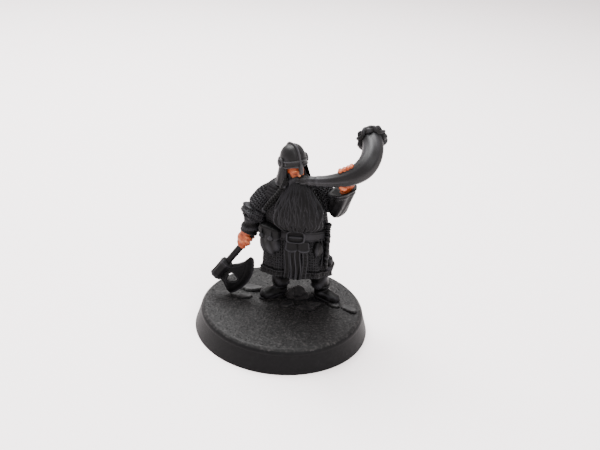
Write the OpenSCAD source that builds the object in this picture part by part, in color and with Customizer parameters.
// Tabletop miniature: a bearded, helmeted warrior sounding a war horn, one hand on a long axe.
// The figure is a set of cast pieces glued together and slotted into a round plastic gaming base.
// Frame: origin at the centre of the base's underside, +Z up, the figure faces -Y, millimetres.
// "Right" and "left" are the figure's own: its right hand is at -X.

/* [Base] */
// Diameter of the base where it meets the table
base_d = 25; // [22:0.5:40]
// Diameter at the top of the sloping side
base_shoulder_d = 23.5; // [21:0.5:36]
// Height of the base without the sand
base_h = 3.2; // [2.6:0.1:6]
// Rounding between the side and the top
base_edge_r = 0.7; // [0.3:0.1:1.2]
// Wall of the hollow base
base_wall = 1.1; // [0.8:0.1:2]
// Thickness of the base's top plate
base_roof = 1.0; // [0.6:0.1:1.5]
// Thickness of the sand glued on the top
grit_t = 0.15; // [0.1:0.05:0.4]
// Length of the tab under the feet
tab_l = 11.5; // [8:0.5:16]
// Thickness of that tab
tab_t = 1.2; // [0.8:0.1:2]
// How far the tab reaches down through the base's top
tab_depth = 2.4; // [1.5:0.1:2.5]
// Clearance all round the tab in its slot
slot_gap = 0.08; // [0.03:0.01:0.2]

/* [Stance] */
// Where the figure stands, across the base
stand_x = 2.45; // [-4:0.1:4]
// Where the figure stands, from front to back
stand_y = 2.1; // [-3:0.1:3]
// Middle of the coat at the ground, across the base
coat_x = 1.66; // [-4:0.02:4]
// How strongly the body bends to its right with the square of the height
bow = 0.0036; // [-0.01:0.0002:0.01]
// Forward lean for each millimetre of height
stoop = 0.02; // [0:0.01:0.1]
// Half the distance between the heels
heel_spread = 2.4; // [1.5:0.1:3.2]
// Length of a boot's sole
boot_l = 4.4; // [3:0.1:6]
// Width of a boot
boot_w = 2.0; // [1.4:0.1:2.8]
// Height of a boot's shaft above the sole
boot_h = 2.3; // [1.6:0.1:3]
// How far the toes turn out, in degrees
toe_out = 57; // [0:1:80]
// Diameter of a trouser leg
leg_d = 2.7; // [2:0.1:3.6]

/* [Body] */
// Sole to the hem of the mail coat
leg_h = 4.3; // [3.5:0.1:8]
// Hem to the lower edge of the belt
skirt_h = 6.0; // [4:0.1:9]
// Top of the belt to the shoulders
torso_h = 6.35; // [4.5:0.1:9]
// Width of the coat at its hem
hem_w = 9.3; // [7:0.1:12]
// Width over the hips
hip_w = 9.3; // [7:0.1:12]
// Width at the belt
waist_w = 8.9; // [6:0.1:11]
// Width over the chest
chest_w = 8.5; // [6:0.1:11]
// Front-to-back depth as a share of the width
body_depth = 0.8; // [0.6:0.01:1]
// How far the hem rises towards the front, in degrees
hem_tilt = 15; // [0:1:20]
// How far the belt rises towards the front, in degrees
belt_tilt = 12; // [0:1:20]
// Width of the neck
neck_w = 3.0; // [2:0.1:3.6]
// Height of the trim round the hem
trim_w = 1.1; // [0.6:0.1:1.8]
// How far the trim stands out
trim_t = 0.26; // [0.15:0.01:0.5]
// Width of the cloth panel that hangs at the front
panel_w = 1.7; // [1.5:0.1:4]
// Thickness of that panel
panel_t = 0.42; // [0.3:0.01:0.7]

/* [Belt and its load] */
// Width of the belt
belt_w = 1.6; // [1:0.1:2.4]
// Thickness of the belt
belt_t = 0.34; // [0.2:0.01:0.6]
// Width of the buckle plate
buckle_w = 2.7; // [1.8:0.1:3.6]
// Height of the buckle plate
buckle_h = 1.75; // [1.2:0.05:2.8]
// Thickness of the buckle plate
buckle_t = 0.4; // [0.2:0.01:0.6]
// Width of the belt pouch on the right hip
pouch_w = 2.9; // [2:0.1:3.6]
// Height of that pouch
pouch_h = 4.0; // [2.5:0.1:5]
// Width of the small purse on the left hip
purse_w = 1.4; // [1:0.1:2]
// Length of the knife sheath behind the purse
sheath_l = 5.2; // [3.5:0.1:6.5]

/* [Head] */
// Width of the head at the temples
head_w = 3.0; // [2.4:0.1:4]
// Turn of the head towards the horn, in degrees
head_turn = 34; // [-40:1:40]
// Lean of the head to its right, in degrees
head_lean = 6; // [-15:1:15]
// Wall of the helmet, brim to crown
helmet_wall = 0.3; // [0.2:0.05:0.5]
// Gap between head and helmet
helmet_gap = 0.05; // [0.02:0.01:0.1]
// Height of the helmet's bowl
helmet_h = 2.7; // [2.5:0.1:5]
// Height of the band round the brow
brow_h = 0.9; // [0.5:0.1:1.4]
// How far band and crest stand out from the bowl
crest_t = 0.16; // [0.12:0.01:0.4]
// Width of the crest and the nose guard
crest_w = 0.62; // [0.4:0.01:1]
// Length of the nose guard below the brim
nasal_l = 0.9; // [0.6:0.1:1.5]
// Width of the beard at its foot
beard_w = 6.6; // [4:0.1:8]
// Thickness of the beard
beard_t = 1.4; // [0.8:0.1:2]
// Gap between the foot of the beard and the belt
beard_clear = 0.3; // [0.3:0.1:2]
// Thickness of a braid
braid_d = 0.95; // [0.6:0.05:1.2]

/* [Arms] */
// Distance between the two shoulder joints
shoulder_span = 4.9; // [3.5:0.1:6.5]
// Right elbow, from the shoulder joint
right_upper = [-2.65, -0.1, -3.5]; // [-6:0.1:6]
// Right wrist, from the elbow
right_fore = [-1.05, -0.4, -3.3]; // [-6:0.1:6]
// Left elbow, from the shoulder joint
left_upper = [3.5, -1.5, -2.7]; // [-6:0.1:6]
// Thickness of an upper arm in its mail sleeve
upper_arm_d = 3.2; // [2.2:0.1:4]
// Thickness of a forearm in its bracer, at the elbow
forearm_d = 2.4; // [1.6:0.1:3]
// Thickness of the bracer at the wrist
cuff_d = 2.3; // [1.6:0.1:3]
// Width of the left sleeve's flared opening
sleeve_mouth_w = 4.2; // [3:0.1:5]
// Width of a fist
fist_w = 2.1; // [1.5:0.1:3]
// Diameter of a finger
finger_d = 0.66; // [0.4:0.01:0.9]
// Diameter of the pegs that join head and arms to the body
peg_d = 0.9; // [0.6:0.05:1.3]
// Length of those pegs
peg_l = 1.0; // [0.6:0.05:1.4]

/* [Axe] */
// Diameter of the axe's haft
haft_d = 0.95; // [0.7:0.01:1.4]
// How far the haft stands past the fist
haft_over = 1.2; // [0.4:0.1:2]
// How far the axe stands to the side of the feet, at the head's eye
axe_reach = 11.6; // [9:0.1:13]
// Height of the eye's centre above the sand
axe_eye_h = 4.1; // [3.6:0.1:6]
// Diameter of the eye's socket
socket_d = 1.9; // [1.4:0.01:2.6]
// Length of the eye's socket
socket_l = 3.1; // [2:0.1:4]
// Distance from the haft to the cutting edge
blade_reach = 4.3; // [3.5:0.1:6]
// How far the blade's toe stands above the eye's centre, along the haft
blade_up = 4.2; // [2.5:0.1:5]
// How far its heel stands below the eye's centre
blade_down = 2.6; // [1.5:0.1:4]
// Thickness of the blade at the eye
blade_t = 0.6; // [0.35:0.01:0.9]

/* [Horn] */
// How far the horn's mouth stands to the side of the lips
horn_side = 8.95; // [7:0.1:12]
// How far it stands above the lips
horn_rise = 5.7; // [4.5:0.1:8]
// How far it bends away behind the lips
horn_back = 3.6; // [0:0.1:5]
// Diameter at the lips
horn_tip_d = 1.15; // [0.7:0.05:1.4]
// Diameter at the bell
horn_bell_d = 2.8; // [2.2:0.1:4.5]
// Wall of the horn at its bell
horn_wall = 0.45; // [0.3:0.05:0.7]
// Depth of the hollow in the bell, as a share of the horn's length
bell_share = 0.16; // [0.08:0.01:0.3]
// Thickness of the carved band round the bell
rim_t = 0.95; // [0.6:0.05:1.3]
// Diameter of the mouthpiece's ring
mouthpiece_d = 1.5; // [1.1:0.05:2]

/* [Hidden] */

// Colours: black primer over everything, flesh base coat on the skin.
primer = "#2b2b2d";
plastic = "#262628";
sand = "#3a393a";
flesh = "#b9603a";

// Round faces: body sections, limbs, small detail.
body_fn = 24;
limb_fn = 14;
small_fn = 10;

// Glue line between cast pieces that only touch.
glue = 0.02;

sole_z = base_h + grit_t;
hem_z = leg_h;
belt_lo = hem_z + skirt_h;
belt_hi = belt_lo + belt_w;
shoulder_h = belt_hi + torso_h;
neck_h = shoulder_h + 0.9;

// ---------- vectors ----------
function unit(v) = v / norm(v);
function mix(a, b, t) = a + (b - a) * t;
function ease(t) = let (c = min(max(t, 0), 1)) c * c * (3 - 2 * c);
function bezier(p, t) =
    pow(1 - t, 3) * p[0] + 3 * t * pow(1 - t, 2) * p[1] + 3 * t * t * (1 - t) * p[2] + pow(t, 3) * p[3];

// Height h above the soles, on the bent axis of the body.
function spine(h) = [coat_x - bow * h * h, stand_y - stoop * h, sole_z + h];

// Half widths of the coat against height, from hem to neck.
widths = [[hem_z, hem_w / 2], [hem_z + skirt_h * 0.35, hip_w / 2], [belt_lo, waist_w / 2],
          [belt_hi, waist_w / 2 - 0.1], [belt_hi + torso_h * 0.35, chest_w / 2],
          [belt_hi + torso_h * 0.75, chest_w / 2 - 0.25], [shoulder_h, chest_w / 2 - 1.0],
          [neck_h, neck_w / 2]];
function half_width(h) = lookup(h, widths);
function half_depth(h) = half_width(h) * body_depth;

// Stands its children at a point with their +Z along a direction.
module aim(at, toward) {
    d = unit(toward);
    translate(at) rotate([0, acos(d.z), atan2(d.y, d.x)]) children();
}

// ---------- shapes ----------
// A chain of balls of the given radii, hulled in pairs.
module chain(points, radii, fn = limb_fn) {
    for (i = [0:len(points) - 2]) hull() {
        translate(points[i]) sphere(radii[i], $fn = fn);
        translate(points[i + 1]) sphere(radii[i + 1], $fn = fn);
    }
}

// Rise of the sections towards the front, from hem to neck.
tilts = [[hem_z, hem_tilt], [belt_lo, belt_tilt], [belt_hi, belt_tilt], [shoulder_h, 3], [neck_h, 0]];
function tilt(h) = lookup(h, tilts);

// Height of the body's front face at section h.
function front_rise(h) = half_depth(h) * sin(tilt(h));

// One thin elliptical section of the body, grown outwards by g.
disc_t = 0.01;
module section(h, g) {
    translate(spine(h)) rotate([-tilt(h), 0, 0]) scale([half_width(h) + g, half_depth(h) + g, 1])
        linear_extrude(disc_t, center = true) circle(1, $fn = body_fn);
}

// The body between two heights, as a stack of hulled sections.
module body(h0, h1, g = 0, steps = 8) {
    for (i = [0:steps - 1]) hull() {
        section(mix(h0, h1, i / steps), g);
        section(mix(h0, h1, (i + 1) / steps), g);
    }
}

module round_box(size, r) {
    hull() for (x = [-1, 1], y = [-1, 1], z = [-1, 1])
        translate([x * (size.x / 2 - r), y * (size.y / 2 - r), z * (size.z / 2 - r)])
            sphere(r, $fn = small_fn);
}

// ---------- base ----------
base_r = base_d / 2;
shoulder_r = base_shoulder_d / 2;
shoulder_z = base_h - base_edge_r;
deck_r = shoulder_r - base_edge_r;

module base_profile() {
    arc_steps = 8;
    polygon(concat(
        [[0, 0], [base_r, 0], [shoulder_r, shoulder_z]],
        [for (i = [1:arc_steps]) let (a = 90 * i / arc_steps)
            [deck_r + base_edge_r * cos(a), shoulder_z + base_edge_r * sin(a)]],
        [[0, base_h]]));
}

module hollow_profile() {
    floor_r = base_r - base_wall;
    roof_r = shoulder_r - base_wall;
    polygon([[0, -1], [floor_r, -1], [floor_r, 0], [roof_r, base_h - base_roof], [0, base_h - base_roof]]);
}

// The tab's block, grown by g for the slot that takes it.
module tab_block(g = 0) {
    translate([stand_x - tab_l / 2 - g, stand_y - tab_t / 2 - g - 0.3, sole_z - tab_depth - g])
        cube([tab_l + 2 * g, tab_t + 2 * g, tab_depth + 2 * g]);
}

module base() color(plastic) difference() {
    rotate_extrude($fn = 96) base_profile();
    rotate_extrude($fn = 96) hollow_profile();
    tab_block(slot_gap);
}

module base_grit() color(sand) difference() {
    translate([0, 0, base_h]) cylinder(r = deck_r, h = grit_t, $fn = 96);
    tab_block(slot_gap);
}

module slot_tab() color(primer) tab_block();

// One flat stone: a six-sided slab lying on the sand, turned and tipped.
module slab(at, size, turn, tip) {
    translate([at.x, at.y, sole_z + size.z / 2]) rotate([0, tip, turn]) scale([size.x, size.y, 1])
        cylinder(d = 1, h = size.z, center = true, $fn = 6);
}

// [place, size, turn, tip] of each stone lying about the feet.
stones = [[[stand_x - 7.6, stand_y + 1.5], [4.4, 1.6, 0.5], -12, 0],
          [[stand_x - 8.0, stand_y - 1.0], [2.4, 1.1, 0.35], 8, 0],
          [[stand_x - 0.4, stand_y - 2.9], [4.6, 1.5, 0.4], 10, 0],
          [[stand_x + 7.0, stand_y - 2.6], [3.2, 1.3, 0.45], -26, 0]];
shard_size = [2.4, 0.45, 2.1];

module slate_slabs() color(primer) {
    for (s = stones) slab(s[0], s[1], s[2], s[3]);
    // One shard stands on edge between the boots.
    translate([stand_x - 0.55, stand_y, sole_z + shard_size.z / 2]) rotate([0, 0, -8])
        cube(shard_size, center = true);
}

// ---------- boots and legs ----------
function heel(side) = [stand_x + side * heel_spread, stand_y + 1.0, sole_z];
function toe_way(side) = [side * sin(toe_out), -cos(toe_out), 0];
function ankle(side) = heel(side) + toe_way(side) * boot_w * 0.35;

module boot(side) {
    sole_t = 0.3;
    way = toe_way(side);
    toe = heel(side) + way * (boot_l - boot_w * 0.55);
    instep = mix(heel(side), toe, 0.55);
    r = boot_w / 2;
    // Sole
    hull() {
        translate(heel(side)) cylinder(r = r * 0.85, h = sole_t, $fn = limb_fn);
        translate(toe) cylinder(r = r, h = sole_t, $fn = limb_fn);
        translate(toe + way * r * 0.9) cylinder(r = r * 0.35, h = sole_t, $fn = limb_fn);
    }
    // Foot
    hull() {
        translate(heel(side) + [0, 0, sole_t]) cylinder(r = r * 0.8, h = boot_h * 0.45, $fn = limb_fn);
        translate(instep + [0, 0, sole_t]) cylinder(r = r * 0.85, h = boot_h * 0.45, $fn = limb_fn);
    }
    hull() {
        translate(instep + [0, 0, sole_t]) cylinder(r = r * 0.85, h = boot_h * 0.45, $fn = limb_fn);
        translate(toe + way * r * 0.7 + [0, 0, sole_t]) cylinder(r = r * 0.4, h = 0.25, $fn = limb_fn);
        translate(toe + [0, 0, sole_t]) cylinder(r = r * 0.8, h = boot_h * 0.2, $fn = limb_fn);
    }
    // Shaft
    hull() {
        translate(ankle(side) + [0, 0, sole_t]) cylinder(r = r * 0.9, h = 0.1, $fn = limb_fn);
        translate(ankle(side) + [0, 0, boot_h - 0.1]) cylinder(r = leg_d / 2, h = 0.1, $fn = limb_fn);
    }
}

module boot_right() color(primer) boot(-1);
module boot_left() color(primer) boot(1);

// A trouser leg stands on its boot and ends against the underside of the coat.
module leg(side) {
    foot = ankle(side) + [0, 0, boot_h];
    top = spine(hem_z + 0.8) + [side * hem_w * 0.23 + 0.3, 0.2, 0];
    cap = 0.05;
    difference() {
        hull() {
            translate(foot) cylinder(d = leg_d * 0.86, h = cap, $fn = body_fn);
            translate(top) cylinder(d = leg_d, h = cap, $fn = body_fn);
        }
        body(hem_z, hem_z + 2, 0.01, 2);
    }
}

module leg_right() color(primer) leg(-1);
module leg_left() color(primer) leg(1);

// ---------- coat ----------
waist_z = belt_lo + belt_w / 2;
module skirt_body(g = 0) body(hem_z, waist_z, g);
module shirt_body(g = 0) body(waist_z + 2 * disc_t, neck_h, g);

// All that the coat fills, grown by g, carried on a little below the hem.
module coat(g = 0) {
    body(hem_z - 1, hem_z, g, 1);
    skirt_body(g);
    shirt_body(g);
}

module mail_skirt() color(primer) skirt_body();

// The opening down the front of the coat, as a block through the body's front, grown by g each side.
panel_x = -0.05;
module opening(w, g = 0) {
    front = 9;
    low = spine(hem_z) - [0, 0, 1];
    high = spine(belt_hi);
    hull() {
        translate([low.x + panel_x - w / 2 - g, low.y - front, low.z]) cube([w + 2 * g, front, 0.1]);
        translate([high.x + panel_x - w / 2 - g, high.y - front, high.z]) cube([w + 2 * g, front, 0.1]);
    }
}

// Trim along the hem and up both front edges of the coat.
edge_w = 0.8;
module trim_band(g = 0) body(hem_z - g, hem_z + trim_w + g, trim_t + g, 4);

module hem_trim() color(primer) difference() {
    union() {
        trim_band();
        intersection() {
            body(hem_z, belt_lo - glue, trim_t);
            opening(panel_w + 2 * edge_w);
        }
    }
    buckle_block(glue);
    coat();
    opening(panel_w, glue);
}

// The tunic's front fold, hanging in the coat's opening.
panel_drop = 0.15;
module front_panel() color(primer) difference() {
    intersection() {
        body(hem_z - panel_drop, belt_lo - glue, panel_t);
        opening(panel_w);
    }
    coat();
    buckle_block(glue);
}

// A two-lobed leather flap under the buckle, lying on the panel and its trims.
flap_w = 3.4;
flap_h = 1.7;
flap_x = 0.25;
module flap_lobe(x) {
    lobe_r = flap_w / 4;
    low_h = belt_lo - flap_h;
    at = spine(low_h) + [panel_x + flap_x + x, 0, front_rise(low_h) + lobe_r];
    translate(at) rotate([90, 0, 0]) linear_extrude(9) union() {
        circle(r = lobe_r, $fn = 24);
        translate([-lobe_r, 0]) square([2 * lobe_r, flap_h]);
    }
}

module apron_flap() color(primer) difference() {
    intersection() {
        body(belt_lo - flap_h - 0.4, belt_lo - glue, panel_t + 0.3);
        union() {
            flap_lobe(-flap_w / 4);
            flap_lobe(flap_w / 4);
        }
    }
    body(belt_lo - flap_h - 1, belt_lo + 1, panel_t + glue);
    buckle_block(glue);
}

// ---------- pegs and sockets ----------
// A round peg, or with a gap the socket that takes it: a little of it stands outside the joint face.
module peg(at, inward, gap = 0) aim(at - unit(inward) * peg_l * 0.4, inward)
    cylinder(d = peg_d + 2 * gap, h = peg_l * 1.4 + gap, $fn = 20);

peg_gap = 0.04;
neck_at = spine(neck_h);
function shoulder(side) = spine(shoulder_h - 0.85) + [side * shoulder_span / 2, 0.4, side < 0 ? -0.2 : 0.6];
function arm_face(side) = shoulder(side) + [-side * 0.75, 0, -0.2];

module mail_shirt() color(primer) difference() {
    shirt_body();
    peg(neck_at, [0, 0, -1], peg_gap);
    for (side = [-1, 1]) peg(arm_face(side), [-side, 0, 0], peg_gap);
    // The upper arms seat against the shirt, so their own outline is its limit.
    upper_arm(-1, glue);
    upper_arm(1, glue);
}

// ---------- belt and its load ----------
module belt() color(primer) difference() {
    belt_band();
    coat();
}

// The belt's front face, x measured from the body's axis.
function belt_front(x) = let (m = spine(belt_lo + belt_w / 2), a = half_width(belt_lo + belt_w / 2) + belt_t,
                              b = a * body_depth * sqrt(max(0, 1 - pow(x / a, 2))))
    m + [x, -b * cos(belt_tilt), b * sin(belt_tilt)];

module rounded_plate(w, h, t, r) {
    linear_extrude(t) offset(r, $fn = 16) square([w - 2 * r, h - 2 * r], center = true);
}

// The belt's own ring, grown by g.
module belt_band(g = 0) body(belt_lo - g, belt_hi + g, belt_t + g, 4);

// A rectangular frame with a sunk centre, bedded against the belt's front.
module on_belt_front() translate(belt_front(panel_x)) rotate([90 - belt_tilt, 0, 0]) children();
module buckle_block(g = 0) on_belt_front()
    translate([0, 0, -0.4 - g]) rounded_plate(buckle_w + 2 * g, buckle_h + 2 * g, buckle_t + 0.4 + 2 * g, 0.45);

module buckle() color(primer) difference() {
    sunk = 0.2;
    border = 0.35;
    buckle_block();
    on_belt_front() translate([0, 0, buckle_t - sunk])
        rounded_plate(buckle_w - 2 * border, buckle_h - 2 * border, buckle_t, 0.2);
    belt_band(0.01);
    coat(0.01);
}

pouch_t = 1.9;
pouch_x = -half_width(belt_lo) * 0.76;
pouch_at = belt_front(pouch_x) + [0, 0.35, -pouch_h / 2 + belt_w * 0.6];
pouch_turn = -34;
lid_t = 0.22;
module in_pouch() translate(pouch_at) rotate([0, 0, pouch_turn]) children();

module belt_pouch() color(primer) difference() {
    in_pouch() round_box([pouch_w, pouch_t, pouch_h], 0.6);
    belt_band(glue);
    coat(0.01);
    flap_block(glue);
}

// The flap is a thicker lid over the pouch's upper part.
module flap_block(g = 0) {
    lid_h = pouch_h * 0.42;
    in_pouch() translate([0, -lid_t, pouch_h / 2 - lid_h / 2 + lid_t])
        round_box([pouch_w + 2 * lid_t + 2 * g, pouch_t + 2 * g, lid_h + 2 * g], 0.4);
}

module pouch_flap() color(primer) difference() {
    flap_block();
    belt_band(glue);
    coat(0.01);
    toggle_block(0.01);
    puff_shape(glue);
}

// Two round toggles closing the flap, their feet let into it.
module toggle_block(g = 0) {
    toggle_d = 0.75;
    toggle_h = 0.55;
    let_in = 0.2;
    in_pouch() for (x = [-1, 1])
        translate([x * pouch_w * 0.27, -pouch_t / 2 - lid_t + let_in + g, pouch_h * 0.2]) rotate([90, 0, 0])
            cylinder(d1 = toggle_d + 2 * g, d2 = toggle_d * 0.7 + 2 * g, h = toggle_h + g, $fn = 20);
}

module pouch_toggles() color(primer) toggle_block();

// A leaf-shaped purse hangs under the belt on the left hip.
purse_h = 2.3;
purse_at = belt_front(half_width(belt_lo) * 0.68) + [0, 0.15, -belt_w / 2 - purse_h / 2];
module purse() color(primer) difference() {
    hull() {
        translate(purse_at + [0, 0, purse_h * 0.35]) sphere(d = purse_w * 0.9, $fn = limb_fn);
        translate(purse_at + [0, 0, -purse_h * 0.05]) sphere(d = purse_w * 1.15, $fn = limb_fn);
        translate(purse_at + [0, 0, -purse_h * 0.5]) sphere(d = purse_w * 0.4, $fn = limb_fn);
    }
    coat(0.01);
    belt_band(glue);
}

// A rolled bag is slung below the belt, behind the purse.
bag_w = 1.7;
bag_at = spine(hem_z + 2.6) + [half_width(hem_z + 2.6) - 0.2, -1.3, 0];
module hip_bag() color(primer) difference() {
    hull() {
        translate(bag_at + [0, -0.5, 0.35]) sphere(d = bag_w * 0.8, $fn = limb_fn);
        translate(bag_at + [0.1, 0, -0.35]) sphere(d = bag_w, $fn = limb_fn);
        translate(bag_at + [0, 0.9, 0]) sphere(d = bag_w * 0.8, $fn = limb_fn);
    }
    coat(0.01);
    trim_band(glue);
    sheath_hull(glue);
}

// The knife's sheath hangs from the belt beside the bag; its grip stands above the belt.
sheath_d = 1.15;
sheath_at = belt_front(half_width(belt_lo) * 0.9) + [0.45, 0.15, 0.2];
sheath_way = unit([0.02, -0.12, -1]);
module sheath_hull(g = 0) hull() {
    aim(sheath_at, sheath_way) cylinder(d = sheath_d + 2 * g, h = 0.3, $fn = limb_fn);
    aim(sheath_at + sheath_way * sheath_l, sheath_way)
        cylinder(d = sheath_d * 0.5 + 2 * g, h = 0.3 + g, $fn = limb_fn);
}

module knife_sheath() color(primer) difference() {
    sheath_hull();
    coat(0.01);
    trim_band(glue);
    belt_band(glue);
}

module knife_grip() color(primer) difference() {
    grip_l = 1.3;
    knob_d = 0.95;
    union() {
        aim(sheath_at, -sheath_way) cylinder(d = 0.75, h = grip_l, $fn = 20);
        translate(sheath_at - sheath_way * grip_l) sphere(d = knob_d, $fn = 20);
    }
    belt_band(glue);
    sheath_hull(glue);
}

// ---------- head ----------
brim_r = head_w / 2 + helmet_gap + helmet_wall;
head_at = spine(shoulder_h + 2.4) + [0.07, -1.2, 0];
module on_head() translate(head_at) rotate([0, -head_lean, 0]) rotate([0, 0, head_turn]) children();
function turned(v) = let (x = v.x * cos(head_turn) - v.y * sin(head_turn),
                          y = v.x * sin(head_turn) + v.y * cos(head_turn))
    [x * cos(head_lean) - v.z * sin(head_lean), y, x * sin(head_lean) + v.z * cos(head_lean)];

// The lips, where the horn's mouthpiece meets the face.
lips = head_at + turned([0, -head_w * 0.56, -0.9]);

module head_shape() {
    r = head_w / 2;
    hull() {
        translate([0, 0.05, 0.6]) sphere(r, $fn = limb_fn + 6);
        translate([0, -0.15, -0.7]) sphere(r * 0.86, $fn = limb_fn + 6);
        translate([0, -0.45, -1.35]) sphere(r * 0.5, $fn = limb_fn);
    }
    // Nose
    hull() {
        translate([0, -r * 0.98, 0.15]) sphere(0.18, $fn = small_fn);
        translate([0, -r * 1.12, -0.5]) sphere(0.28, $fn = small_fn);
    }
    // Ears
    for (side = [-1, 1]) hull() {
        translate([side * r * 0.98, 0.15, 0.1]) sphere(0.25, $fn = small_fn);
        translate([side * r * 0.9, 0.25, -0.6]) sphere(0.2, $fn = small_fn);
    }
}

module neck_hull(g = 0) hull() {
    translate(head_at + [0, 0.3, -0.8]) sphere(neck_w / 2 - 0.1 + g, $fn = limb_fn);
    translate(neck_at + [0, 0, 0.01]) cylinder(d = neck_w - 0.1 + 2 * g, h = 0.01, $fn = body_fn);
}

module head() color(flesh) {
    difference() {
        union() {
            on_head() head_shape();
            neck_hull();
        }
        mouthpiece_ball(glue);
        horn_shape(glue);
        shirt_body(0.01);
    }
    peg(neck_at + [0, 0, 0.05], [0, 0, -1]);
}

brim_z = 1.0;

// Outline of the dome at an outside radius and height: r = R cos^0.72, z = H sin.
function dome(r, h, steps = 14) =
    [for (i = [0:steps]) let (a = 90 * i / steps) [i == steps ? 0 : r * pow(cos(a), 0.72), h * sin(a)]];

module dome_solid(r, h) rotate_extrude($fn = 40) polygon(concat([[0, 0]], dome(r, h)));

module helmet_bowl() color(primer) on_head() translate([0, 0, brim_z]) difference() {
    dome_solid(brim_r, helmet_h);
    translate([0, 0, -0.01]) dome_solid(brim_r - helmet_wall, helmet_h - helmet_wall);
}

// The band round the brow laps over the brim.
lap = 0.1;
module brow_ring(g = 0) translate([0, 0, -lap - g]) cylinder(r = brim_r + crest_t + g, h = brow_h + 2 * g, $fn = 40);

module helmet_brow_band() color(primer) on_head() translate([0, 0, brim_z]) difference() {
    brow_ring();
    translate([0, 0, -1]) cylinder(r = brim_r + 0.01, h = brow_h + 2, $fn = 40);
}

// A rib over the bowl from nape to brow, running down over the band into the nose guard.
module helmet_crest() color(primer) on_head() translate([0, 0, brim_z]) difference() {
    guard_t = crest_t * 2.2;
    union() {
        intersection() {
            dome_solid(brim_r + crest_t, helmet_h + crest_t);
            translate([-crest_w / 2, -brim_r * 1.5, brow_h - lap + glue])
                cube([crest_w, brim_r * 3, helmet_h + 1]);
        }
        translate([-crest_w / 2, -brim_r - guard_t - 0.05, -nasal_l])
            cube([crest_w, guard_t + 0.35, nasal_l + brow_h + 0.25]);
    }
    dome_solid(brim_r + 0.01, helmet_h + 0.01);
    brow_ring(0.01);
    translate([0, 0, -nasal_l - 1]) cylinder(r = brim_r + 0.01, h = nasal_l + 1.01, $fn = 40);
}

// Mail curtain from the brim down over nape and ears to the shoulders, open at the face.
curtain_t = 0.4;
curtain_h = 2.6;
curtain_flare = 0.45;
curtain_angle = 244;
module helmet_curtain() color(primer) difference() {
    on_head() translate([0, 0, brim_z - lap - glue]) rotate([0, 0, 90 - curtain_angle / 2])
        rotate_extrude(angle = curtain_angle, $fn = 48) polygon([
            [brim_r - helmet_wall, 0], [brim_r + curtain_t * 0.6, 0],
            [brim_r + curtain_flare + curtain_t, -curtain_h], [brim_r + curtain_flare, -curtain_h]]);
    shirt_body(glue);
    mantle_block(glue);
    on_head() head_shape();
    neck_hull(0.01);
    upper_arm(-1, glue);
    upper_arm(1, glue);
}

module helmet_ear_bosses() color(primer) on_head() for (side = [-1, 1])
    translate([side * (brim_r + crest_t - 0.04), 0, brim_z + brow_h * 0.72]) rotate([0, side * 90, 0])
        difference() {
            cylinder(d1 = 1.3, d2 = 1.0, h = 0.3, $fn = 24);
            translate([0, 0, -brim_r - crest_t + 0.04]) rotate([0, 90, 0])
                cylinder(r = brim_r + crest_t + 0.01, h = 4, center = true, $fn = 40);
        }

// Rolled collar of the coat round the neck.
module mantle_block(g = 0) {
    ring_r = neck_w / 2 + 0.45;
    translate(spine(neck_h - 0.15)) rotate_extrude($fn = 36) translate([ring_r, 0])
        circle(r = 0.5 + g, $fn = 12);
}

module shoulder_mantle() color(primer) difference() {
    mantle_block();
    shirt_body(0.01);
    upper_arm(-1, 2 * glue);
    upper_arm(1, 2 * glue);
    beard_shape(2 * glue);
    moustache_shape(2 * glue);
    neck_hull(3 * glue);
    on_head() head_shape();
    // The front of the roll would lie under the beard, so it ends at either side of it.
    translate(neck_at + [0, -4.6, 0]) cube([9, 8, 4], center = true);
}

// ---------- beard ----------
beard_top = head_at + turned([0, -head_w * 0.42, -1.35]);
beard_foot_h = belt_hi + front_rise(belt_hi) + beard_clear;
beard_shift = 0.35;
beard_foot = spine(beard_foot_h) + [beard_shift, -half_depth(beard_foot_h) - beard_t * 0.3, 0];
function beard_line(t) =
    bezier([beard_top, beard_top + [0, -0.5, -1.2], beard_foot + [0, -0.25, 2.2], beard_foot], t);
function beard_half(t) =
    mix(head_w * 0.48, beard_w / 2, ease(t * 1.3)) * (t > 0.8 ? 1 - pow((t - 0.8) / 0.2, 2) * 0.28 : 1);

module beard_slice(t, g) translate(beard_line(t)) scale([beard_half(t) + g, beard_t / 2 + g, 1])
    linear_extrude(0.02, center = true) circle(1, $fn = body_fn);

module beard_shape(g = 0) {
    steps = 8;
    for (i = [0:steps - 1]) hull() {
        beard_slice(i / steps, g);
        beard_slice((i + 1) / steps, g);
    }
    // Side whiskers running up to the ears.
    for (side = [-1, 1]) hull() {
        translate(head_at + turned([side * head_w * 0.42, -0.2, -0.6])) sphere(0.35 + g, $fn = small_fn);
        translate(beard_line(0.05) + turned([side * head_w * 0.33, 0.1, 0])) sphere(0.6 + g, $fn = small_fn);
    }
}

module beard() color(primer) difference() {
    beard_shape();
    on_head() head_shape();
    neck_hull(0.01);
    coat(0.01);
    belt_band(glue);
    buckle_block(glue);
    horn_shape(glue);
    mouthpiece_ball(glue);
}

// Two drooping ends, one each side of the mouthpiece.
module moustache_shape(g = 0) for (side = [-1, 1]) on_head() chain(
    [[side * 0.4, -head_w * 0.55, -0.7], [side * 0.85, -head_w * 0.5, -0.9],
     [side * 1.2, -head_w * 0.43, -1.35], [side * 1.35, -head_w * 0.4, -1.8]],
    [0.3 + g, 0.38 + g, 0.34 + g, 0.22 + g], small_fn);

module moustache() color(primer) difference() {
    moustache_shape();
    on_head() head_shape();
    beard_shape(3 * glue);
    horn_shape(glue);
    mouthpiece_ball(glue);
}

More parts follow.
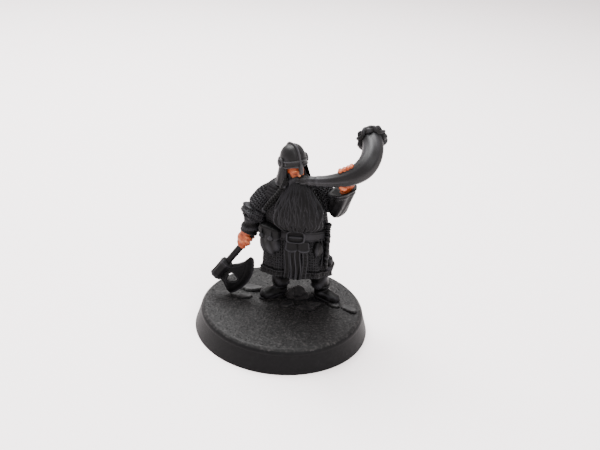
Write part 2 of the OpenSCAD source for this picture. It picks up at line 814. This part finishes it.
// A braid hangs from under the helmet's edge over the chest and shoulder.
function braid_top(side) = head_at + turned([side * (brim_r - 0.2), side < 0 ? -0.95 : -0.25, -0.4]);
function braid_end(side) = side < 0
    ? spine(belt_hi + torso_h * 0.42) + [-chest_w / 2 - 0.1, -2.3, 0]
    : spine(belt_hi + torso_h * 0.52) + [chest_w / 2 - 0.35, -2.35, 0];
function braid_line(side, t) = let (top = braid_top(side), end = braid_end(side))
    bezier([top, top + [side * 0.15, -0.6, -1.9], end + [-side * 0.7, -0.35, 1.9], end], t);

module braid_shape(side, g = 0) {
    steps = 8;
    chain([for (i = [0:steps]) braid_line(side, i / steps)],
          [for (i = [0:steps]) braid_d / 2 * (i % 2 == 0 ? 1 : 0.82) * (i == steps ? 0.75 : 1) + g], small_fn);
}

module braid(side) difference() {
    braid_shape(side);
    on_head() head_shape();
    coat(0.01);
    beard_shape(0.01);
    mantle_block(0.01);
    moustache_shape(glue);
    neck_hull(glue);
    on_head() translate([0, 0, brim_z - lap - glue]) cylinder(r = brim_r + 1, h = 3, $fn = 40);
    upper_arm(side, 0.01);
    horn_shape(glue);
    curtain_keepout();
}

// The curtain's own sector, cleared out of the braids.
module curtain_keepout() on_head() translate([0, 0, brim_z - lap]) rotate([0, 0, 90 - curtain_angle / 2])
    rotate_extrude(angle = curtain_angle, $fn = 48) polygon([
        [brim_r - helmet_wall - 0.05, 0.1], [brim_r + curtain_t * 0.6 + 0.05, 0.1],
        [brim_r + curtain_flare + curtain_t + 0.05, -curtain_h - 0.05],
        [brim_r + curtain_flare - 0.05, -curtain_h - 0.05]]);

module braid_right() color(primer) braid(-1);
module braid_left() color(primer) braid(1);

// ---------- horn's centre line: from the lips out to the side, then up and back ----------
horn_curve = [lips, lips + [horn_side * 0.78, -1.9, horn_rise * 0.1],
              lips + [horn_side * 1.14, -horn_back * 1.1, horn_rise * 0.68],
              lips + [horn_side, horn_back + 0.6, horn_rise]];
function horn_at(t) = bezier(horn_curve, t);
function horn_way(t) = let (c = min(max(t, 0.01), 0.99)) unit(horn_at(c + 0.01) - horn_at(c - 0.01));
function horn_r(t) = mix(horn_tip_d, horn_bell_d, ease(t * 1.65)) / 2;

// ---------- arms ----------
elbow_right = shoulder(-1) + right_upper;
wrist_right = elbow_right + right_fore;
elbow_left = shoulder(1) + left_upper;
grip_t = 0.36;
grip_left = horn_at(grip_t);
wrist_left = grip_left + [0.05, 1.5, -horn_r(grip_t) - 1.2];
function elbow(side) = side < 0 ? elbow_right : elbow_left;
function wrist(side) = side < 0 ? wrist_right : wrist_left;
function fore_way(side) = unit(wrist(side) - elbow(side));

module upper_arm(side, g = 0) {
    r = upper_arm_d / 2;
    chain([shoulder(side), mix(shoulder(side), elbow(side), 0.5), elbow(side)],
          [r + g, r * 0.95 + g, r * (side < 0 ? 0.95 : 0.68) + g]);
}

module arm_peg(side) difference() {
    peg(arm_face(side), [-side, 0, 0]);
    upper_arm(side, -0.05);
}

module sleeve_right() color(primer) {
    difference() {
        upper_arm(-1);
        puff_shape(glue);
        bracer_shape(glue);
    }
    arm_peg(-1);
}

// The right sleeve ends in a gathered puff over the elbow.
puff_r = 0.8;
module puff_shape(g = 0) {
    beads = 8;
    ring_r = forearm_d / 2 + 0.1;
    aim(elbow_right + fore_way(-1) * 0.45, fore_way(-1)) for (i = [0:beads - 1]) hull() {
        for (j = [i, i + 1]) rotate([0, 0, 360 * j / beads])
            translate([ring_r, 0, 0]) sphere(puff_r + g, $fn = small_fn);
        sphere(puff_r * 0.6, $fn = small_fn);
    }
}

module elbow_roll_right() color(primer) difference() {
    puff_shape();
    bracer_shape(glue);
    coat(glue);
    beard_shape(glue);
    braid_shape(-1, glue);
}

// Forearm in a leather bracer, tapering to the wrist.
module bracer_shape(g = 0) {
    steps = 2;
    from = elbow_right + fore_way(-1) * 0.7;
    hull_r = [forearm_d / 2, forearm_d / 2 * 0.96, cuff_d / 2];
    for (i = [0:steps - 1]) hull() for (j = [i, i + 1])
        aim(mix(from, wrist_right, j / steps), fore_way(-1))
            cylinder(r = hull_r[j] + g, h = 0.02, center = true, $fn = 16);
}

module bracer_right() color(primer) difference() {
    bracer_shape();
    fist_shape(2 * glue);
    haft_line(glue);
    cap_shape(glue);
}

module sleeve_left() color(primer) {
    difference() {
        upper_arm(1);
        cuff_shape(glue);
    }
    arm_peg(1);
}

// The left sleeve falls open in a wide cuff round the raised wrist.
cuff_tilt = [-0.34, 0.0, 0.94];
module cuff_shape(g = 0) {
    mouth_r = sleeve_mouth_w / 2;
    low = mix(elbow_left, wrist_left, 0.3);
    hull() {
        translate(elbow_left + [0, 0, -0.15]) sphere(upper_arm_d / 2 * 0.62 + g, $fn = limb_fn);
        aim(low, fore_way(1)) cylinder(r = mouth_r * 0.62 + g, h = 0.02, center = true, $fn = 20);
    }
    hull() {
        aim(low, fore_way(1)) cylinder(r = mouth_r * 0.72 + g, h = 0.02, center = true, $fn = 20);
        aim(wrist_left + [-0.3, 0, 0], cuff_tilt) cylinder(r = mouth_r * 0.88 + g, h = 0.3, center = true, $fn = 20);
    }
}

module sleeve_cuff_left() color(primer) difference() {
    cuff_shape();
    hand_shape(glue);
    horn_shape(glue);
    beard_shape(glue);
    braid_shape(1, glue);
    // The mouth of the cuff is hollow round the wrist.
    hollow_d = 0.45;
    aim(wrist_left + [-0.3, 0, 0] - cuff_tilt * hollow_d, cuff_tilt)
        cylinder(r1 = sleeve_mouth_w * 0.3, r2 = sleeve_mouth_w * 0.39, h = 2 * hollow_d, $fn = 20);
}

// ---------- axe ----------
eye_at = [stand_x - axe_reach, stand_y - 0.4, sole_z + axe_eye_h];
grip_right = wrist_right + [-0.2, 0.0, -1.4];
haft_way = unit(eye_at - grip_right);
haft_top = grip_right - haft_way * (fist_w / 2 + haft_over);
haft_end = eye_at + haft_way * (socket_l / 2 - 0.35);

module haft_line(g = 0) aim(haft_top, haft_way)
    cylinder(d = haft_d + 2 * g, h = norm(haft_end - haft_top), $fn = 32);

module axe_haft() color(primer) haft_line();

// Round cap on the butt end of the haft, above the fist.
cap_h = 0.35;
module cap_shape(g = 0) aim(haft_top - haft_way * (cap_h + g), haft_way)
    cylinder(d = haft_d + 0.3 + 2 * g, h = cap_h + g - 0.01, $fn = 24);

module haft_cap() color(primer) cap_shape();

// Places its children in the plane of the haft: x towards the edge, y along the haft to its end.
module in_axe_plane() {
    down = haft_way;
    side = unit([-down.z, 0, down.x]);
    nrm = cross(side, down);
    multmatrix([[side.x, down.x, nrm.x, eye_at.x],
                [side.y, down.y, nrm.y, eye_at.y],
                [side.z, down.z, nrm.z, eye_at.z],
                [0, 0, 0, 1]]) children();
}

// The crescent blade and the two arms that carry it, with the gap between them.
module blade_outline() {
    edge_r = blade_reach * 1.27;
    mid_y = -0.3;
    centre_x = blade_reach - edge_r;
    up_angle = asin((blade_up + mid_y) / edge_r);
    down_angle = asin((blade_down - mid_y) / edge_r);
    arc_steps = 12;
    toe_x = centre_x + edge_r * cos(up_angle);
    difference() {
        polygon(concat(
            [for (i = [0:arc_steps]) let (a = mix(-up_angle, down_angle, i / arc_steps))
                [centre_x + edge_r * cos(a), mid_y + edge_r * sin(a)]],
            [[blade_reach * 0.6, blade_down * 0.88], [blade_reach * 0.3, socket_l * 0.48],
             [0, socket_l * 0.42], [0, -socket_l * 0.46], [blade_reach * 0.19, -socket_l * 0.46],
             [blade_reach * 0.33, -blade_up * 0.5], [blade_reach * 0.44, -blade_up * 0.68],
             [toe_x - 0.55, -blade_up]]));
        hull() {
            translate([blade_reach * 0.33, 0.05]) circle(r = 0.28, $fn = 20);
            translate([blade_reach * 0.5, -0.35]) circle(r = 0.25, $fn = 20);
            translate([blade_reach * 0.58, 0.3]) circle(r = 0.25, $fn = 20);
            translate([blade_reach * 0.5, blade_down * 0.38]) circle(r = 0.25, $fn = 20);
        }
    }
}

module axe_head() color(primer) difference() {
    in_axe_plane() {
        rotate([90, 0, 0]) cylinder(d = socket_d, h = socket_l, center = true, $fn = 40);
        linear_extrude(blade_t, center = true) blade_outline();
    }
    haft_line(slot_gap / 4);
    // Flat where the blade's heel rests on the sand.
    translate([eye_at.x - 9, eye_at.y - 9, sole_z - 4]) cube([18, 18, 4 + glue]);
}

// ---------- right fist, closed round the haft ----------
// k runs 0..3 along the haft; each finger wraps two thirds of a turn round it.
module finger_round_haft(k, g) {
    ring_r = (haft_d + finger_d * 0.85) / 2 - 0.02;
    along = (k - 1.5) * finger_d * 0.8;
    aim(grip_right + haft_way * along, haft_way) chain(
        [for (a = [30:45:300]) [ring_r * cos(a), ring_r * sin(a), 0]],
        [for (a = [30:45:300]) finger_d * 0.45 + g], 8);
}

module fist_shape(g = 0) {
    for (k = [0:3]) finger_round_haft(k, g);
    // Back of the hand up to the wrist
    hull() {
        translate(wrist_right + [-0.1, 0, 0.1]) sphere(0.7 + g, $fn = small_fn);
        translate(grip_right + [-0.75, 0.25, 0.45]) sphere(0.5 + g, $fn = small_fn);
        translate(grip_right + [-0.6, -0.3, 0.25]) sphere(0.42 + g, $fn = small_fn);
    }
}

module fist_right() color(flesh) difference() {
    fist_shape();
    haft_line(0.01);
    cap_shape(glue);
}

// ---------- horn ----------
module horn_slice(t, g) aim(horn_at(t), horn_way(t)) cylinder(r = horn_r(t) + g, h = 0.02, center = true, $fn = 20);

module horn_shape(g = 0) {
    steps = 14;
    for (i = [0:steps - 1]) hull() {
        horn_slice(i / steps, g);
        horn_slice((i + 1) / steps, g);
    }
}

module horn_tube() color(primer) difference() {
    horn_shape();
    // The hollow of the bell narrows in two steps.
    hull() {
        horn_slice(1.03, -horn_wall);
        horn_slice(1 - bell_share * 0.5, -horn_wall - 0.1);
    }
    hull() {
        horn_slice(1 - bell_share * 0.5 + 0.01, -horn_wall - 0.1);
        horn_slice(1 - bell_share, -horn_wall - 0.5);
    }
}

// Rope band round the bell, with a bead at each knot.
band_at = horn_at(0.95);
band_way = horn_way(0.95);
module horn_rim_band() color(primer) aim(band_at, band_way) difference() {
    knots = 7;
    ring_r = horn_r(1) + rim_t * 0.28;
    union() {
        rotate_extrude($fn = 48) translate([ring_r, 0]) circle(d = rim_t * 0.85, $fn = 24);
        for (i = [0:knots - 1]) rotate([0, 0, 360 * (i + 0.5) / knots])
            translate([ring_r + rim_t * 0.08, 0, 0]) sphere(d = rim_t, $fn = 24);
    }
    cylinder(r = horn_r(1) + 0.03, h = 5, center = true, $fn = 48);
}

module mouthpiece_ball(g = 0) translate(mix(horn_at(0), horn_at(0.04), 0.5))
    sphere(d = mouthpiece_d + 2 * g, $fn = limb_fn + 2);

module horn_mouthpiece() color(primer) difference() {
    mouthpiece_ball();
    horn_shape(0.01);
}

// ---------- left hand, under and behind the horn ----------
// Finger k of four: from under the horn, up behind it and over its top.
module finger_round_horn(k, g) {
    t = grip_t - 0.07 + k * 0.036;
    at = horn_at(t);
    ring_r = horn_r(t) + finger_d / 2 - 0.02;
    chain([for (a = [-70:42:98]) at + [0, cos(a) * ring_r, sin(a) * ring_r]],
          [for (a = [-70:42:98]) finger_d / 2 + g], 8);
}

module hand_shape(g = 0) {
    r = horn_r(grip_t);
    for (k = [0:3]) finger_round_horn(k, g);
    // Palm
    hull() {
        translate(wrist_left + [0, -0.1, -0.3]) sphere(0.8 + g, $fn = small_fn);
        translate(grip_left + [-0.5, 0.9, -r + 0.1]) sphere(0.45 + g, $fn = small_fn);
        translate(grip_left + [0.9, 1.0, -r + 0.3]) sphere(0.45 + g, $fn = small_fn);
    }
    // Thumb, along the near side of the horn's underside
    chain([wrist_left + [-0.2, -0.7, 0.2], grip_left + [-0.2, -0.05, -r - 0.3], grip_left + [-0.9, -0.45, -r - 0.05]],
          [0.4 + g, 0.36 + g, 0.3 + g], small_fn);
}

module hand_left() color(flesh) difference() {
    hand_shape();
    horn_shape(0.01);
}

base();
base_grit();
slot_tab();
slate_slabs();
boot_right();
boot_left();
leg_right();
leg_left();
mail_skirt();
hem_trim();
front_panel();
apron_flap();
mail_shirt();
belt();
buckle();
belt_pouch();
pouch_flap();
pouch_toggles();
purse();
hip_bag();
knife_sheath();
knife_grip();
head();
helmet_bowl();
helmet_brow_band();
helmet_crest();
helmet_curtain();
helmet_ear_bosses();
shoulder_mantle();
beard();
moustache();
braid_right();
braid_left();
sleeve_right();
elbow_roll_right();
bracer_right();
fist_right();
sleeve_left();
sleeve_cuff_left();
hand_left();
axe_haft();
axe_head();
haft_cap();
horn_tube();
horn_rim_band();
horn_mouthpiece();
